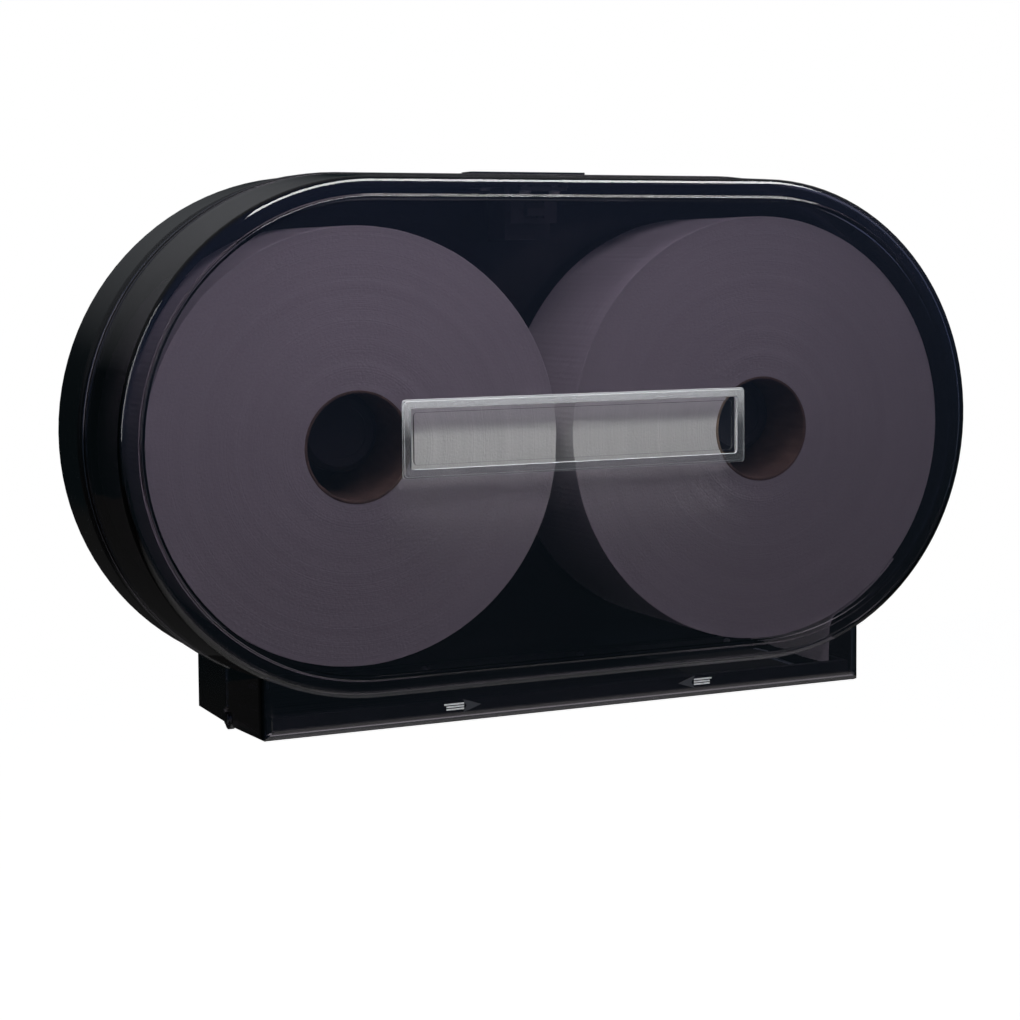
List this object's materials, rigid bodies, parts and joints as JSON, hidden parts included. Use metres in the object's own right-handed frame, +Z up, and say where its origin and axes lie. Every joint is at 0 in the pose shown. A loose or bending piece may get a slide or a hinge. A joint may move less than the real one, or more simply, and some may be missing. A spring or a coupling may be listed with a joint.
{
  "type": "twin jumbo toilet roll dispenser",
  "caption": "Wall-mounted washroom dispenser with a smoked oval cover that swings down, side-by-side paper rolls on spindles and a door that slides to open either exit.",
  "frame": {"origin": "on the wall face, midway between the two round ends", "axes": "+X to the right along the wall, +Y into the wall, +Z up; the front faces -Y"},
  "size_m": [0.5102, 0.1155, 0.295],
  "materials": {
    "black_moulding": "semi-gloss moulding",
    "spindle_plastic": "fine satin",
    "inner_plastic": "satin",
    "door_plastic": "satin",
    "smoked_cover": "smoked see-through, polished",
    "clear_window": "clear, polished",
    "white_ink": "printed",
    "grey_ink": "printed",
    "screw_steel": "zinc plated",
    "pin_steel": "turned, blackened",
    "spring_steel": "drawn wire",
    "tear_steel": "stamped",
    "cardboard": "raw grey-brown board",
    "tissue": "soft embossed tissue"
  },
  "bodies": {
    "housing": {"rear_housing": "black_moulding", "spindle_left": "spindle_plastic", "spindle_right": "spindle_plastic", "spindle_screws": "screw_steel", "lock_case": "inner_plastic", "lock_case_screws": "screw_steel", "latch_spring": "spring_steel", "hinge_pins": "pin_steel", "exit_frame": "inner_plastic", "exit_frame_screws": "screw_steel", "tear_bar_left": "tear_steel", "tear_bar_right": "tear_steel", "paper_tail": "tissue"},
    "latch": {"latch_slide": "inner_plastic"},
    "door": {"slide_door": "door_plastic"},
    "cover": {"front_cover": "smoked_cover", "window_lens": "clear_window", "catch_bracket": "inner_plastic", "catch_screws": "screw_steel", "arrow_tails": "white_ink", "arrow_heads": "grey_ink"},
    "roll_left": {"core_left": "cardboard", "paper_left": "tissue"},
    "roll_right": {"core_right": "cardboard", "paper_right": "tissue"}
  },
  "joints": [
    {"name": "cover_hinge", "type": "hinge", "parent": "housing", "child": "cover", "pos_m": [0, -0.052, -0.1495], "axis": [1, 0, 0], "range_deg": [0, 100]},
    {"name": "latch_press", "type": "slide", "parent": "housing", "child": "latch", "axis": [0, 0, 1], "range_m": [0, 0.005], "stiffness_N_per_m": 300, "springref_m": 0.006, "deforming": ["latch_spring"]},
    {"name": "door_slide", "type": "slide", "parent": "housing", "child": "door", "axis": [1, 0, 0], "range_m": [0, 0.083]},
    {"name": "roll_left_spin", "type": "hinge", "parent": "housing", "child": "roll_left", "pos_m": [-0.1215, 0, -0.0052], "axis": [0, 1, 0], "continuous": true},
    {"name": "roll_right_spin", "type": "hinge", "parent": "housing", "child": "roll_right", "pos_m": [0.1215, 0, -0.0052], "axis": [0, 1, 0], "continuous": true}
  ]
}
